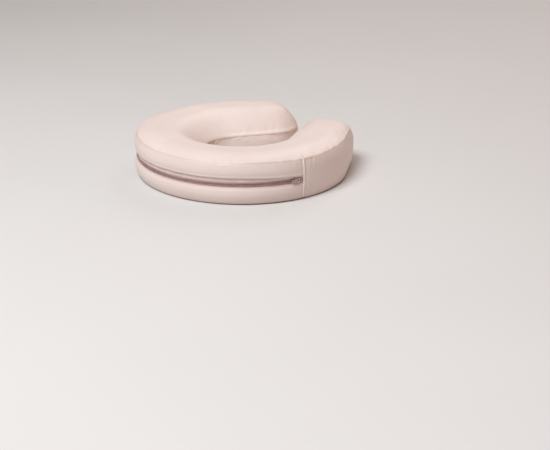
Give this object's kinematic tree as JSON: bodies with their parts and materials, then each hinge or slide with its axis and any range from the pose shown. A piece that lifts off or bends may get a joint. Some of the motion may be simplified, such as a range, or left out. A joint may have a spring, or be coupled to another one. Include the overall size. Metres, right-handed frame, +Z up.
{
  "type": "face cradle cushion",
  "caption": "Horseshoe face cushion for a massage table: layered foam in a sewn cover with a zip round the front and loop tape under the base.",
  "frame": {"origin": "middle of the underside, on the face of the loop tapes", "axes": "+X towards the cheek where the zip's slider is parked, +Y out of the open mouth, +Z up to the face side"},
  "size_m": [0.3, 0.297, 0.064],
  "materials": {
    "cover_leather": "satin",
    "seam_welt": "satin",
    "zip_tape": "matte",
    "zip_coil": "satin",
    "zip_metal": "satin",
    "firm_foam": "matte",
    "soft_foam": "matte",
    "base_cloth": "matte",
    "loop_tape": "matte"
  },
  "bodies": {
    "cushion": {"foam_base": "firm_foam", "foam_top": "soft_foam", "cover_top_panel": "cover_leather", "cover_base_panel": "base_cloth", "outer_band_upper": "cover_leather", "outer_band_lower": "cover_leather", "tip_band_right": "cover_leather", "tip_band_left": "cover_leather", "inner_band": "cover_leather", "seam_welt_right": "seam_welt", "seam_welt_left": "seam_welt", "zip_tape_upper": "zip_tape", "zip_tape_lower": "zip_tape", "zip_coil_upper": "zip_coil", "zip_coil_lower": "zip_coil", "zip_stop_right": "zip_metal", "zip_stop_left": "zip_metal", "loop_strip_right": "loop_tape", "loop_strip_left": "loop_tape", "loop_strip_front": "loop_tape"},
    "slider": {"zip_slider": "zip_metal"},
    "pull": {"zip_pull": "zip_metal"}
  },
  "joints": [
    {"name": "zip_slide", "type": "hinge", "parent": "cushion", "child": "slider", "pos_m": [0, 0.0015, 0.0284], "axis": [0, 0, -1], "range_deg": [0, 153.6]},
    {"name": "pull_flip", "type": "hinge", "parent": "slider", "child": "pull", "pos_m": [0.14638, -0.03283, 0.0284], "axis": [0, 0, 1], "range_deg": [0, 174]}
  ]
}
